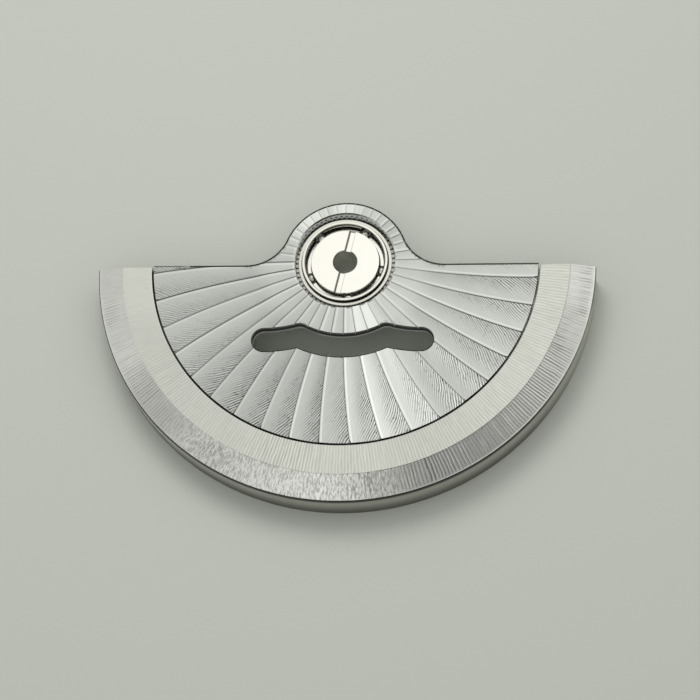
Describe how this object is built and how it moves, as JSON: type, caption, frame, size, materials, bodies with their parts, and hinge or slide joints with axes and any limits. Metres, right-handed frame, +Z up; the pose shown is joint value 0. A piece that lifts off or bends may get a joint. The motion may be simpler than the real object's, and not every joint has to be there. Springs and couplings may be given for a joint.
{
  "type": "automatic watch rotor",
  "caption": "Winding rotor for an automatic watch: a striped half-disc plate with a heavy grooved rim that turns on a small central ball bearing with drive teeth.",
  "frame": {"origin": "on the bearing's axis, in the plane of the core's seat, at the lower end of the core's bore", "axes": "+Z up the bearing's axis towards the striped side, +X along the rotor's straight edge, -Y towards the middle of the weight"},
  "size_m": [0.025, 0.0157, 0.0023],
  "materials": {
    "striped_plate": "rhodium-plated, sunray stripes",
    "weight_metal": "radially brushed band, grooved bevel",
    "bearing_steel": "polished",
    "ball_steel": "polished",
    "cage_metal": "satin"
  },
  "bodies": {
    "inner_race": {"bearing_core": "bearing_steel", "bearing_cone": "bearing_steel"},
    "rotor": {"rotor_plate": "striped_plate", "rotor_weight": "weight_metal", "bearing_outer_race": "bearing_steel"},
    "cage": {"ball_cage": "cage_metal"},
    "ball_1": {"bearing_ball_1": "ball_steel"},
    "ball_2": {"bearing_ball_2": "ball_steel"},
    "ball_3": {"bearing_ball_3": "ball_steel"},
    "ball_4": {"bearing_ball_4": "ball_steel"},
    "ball_5": {"bearing_ball_5": "ball_steel"}
  },
  "joints": [
    {"name": "rotor_spin", "type": "hinge", "parent": "inner_race", "child": "rotor", "pos_m": [0, 0, 0.00075], "axis": [0, 0, 1], "continuous": true},
    {"name": "cage_orbit", "type": "hinge", "parent": "inner_race", "child": "cage", "pos_m": [0, 0, 0.00075], "axis": [0, 0, 1], "continuous": true},
    {"name": "ball_1_roll", "type": "hinge", "parent": "cage", "child": "ball_1", "pos_m": [0.00093, 0.0016, 0.00075], "axis": [0, 0, 1], "continuous": true},
    {"name": "ball_2_roll", "type": "hinge", "parent": "cage", "child": "ball_2", "pos_m": [-0.00124, 0.00137, 0.00075], "axis": [0, 0, 1], "continuous": true},
    {"name": "ball_3_roll", "type": "hinge", "parent": "cage", "child": "ball_3", "pos_m": [-0.00169, -0.00075, 0.00075], "axis": [0, 0, 1], "continuous": true},
    {"name": "ball_4_roll", "type": "hinge", "parent": "cage", "child": "ball_4", "pos_m": [0.00019, -0.00184, 0.00075], "axis": [0, 0, 1], "continuous": true},
    {"name": "ball_5_roll", "type": "hinge", "parent": "cage", "child": "ball_5", "pos_m": [0.00181, -0.00038, 0.00075], "axis": [0, 0, 1], "continuous": true}
  ],
  "couplings": [
    {"joint": "cage_orbit", "follows": "rotor_spin", "ratio": 0.55256},
    {"joint": "ball_1_roll", "follows": "rotor_spin", "ratio": 4.7043},
    {"joint": "ball_2_roll", "follows": "rotor_spin", "ratio": 4.7043},
    {"joint": "ball_3_roll", "follows": "rotor_spin", "ratio": 4.7043},
    {"joint": "ball_4_roll", "follows": "rotor_spin", "ratio": 4.7043},
    {"joint": "ball_5_roll", "follows": "rotor_spin", "ratio": 4.7043}
  ]
}
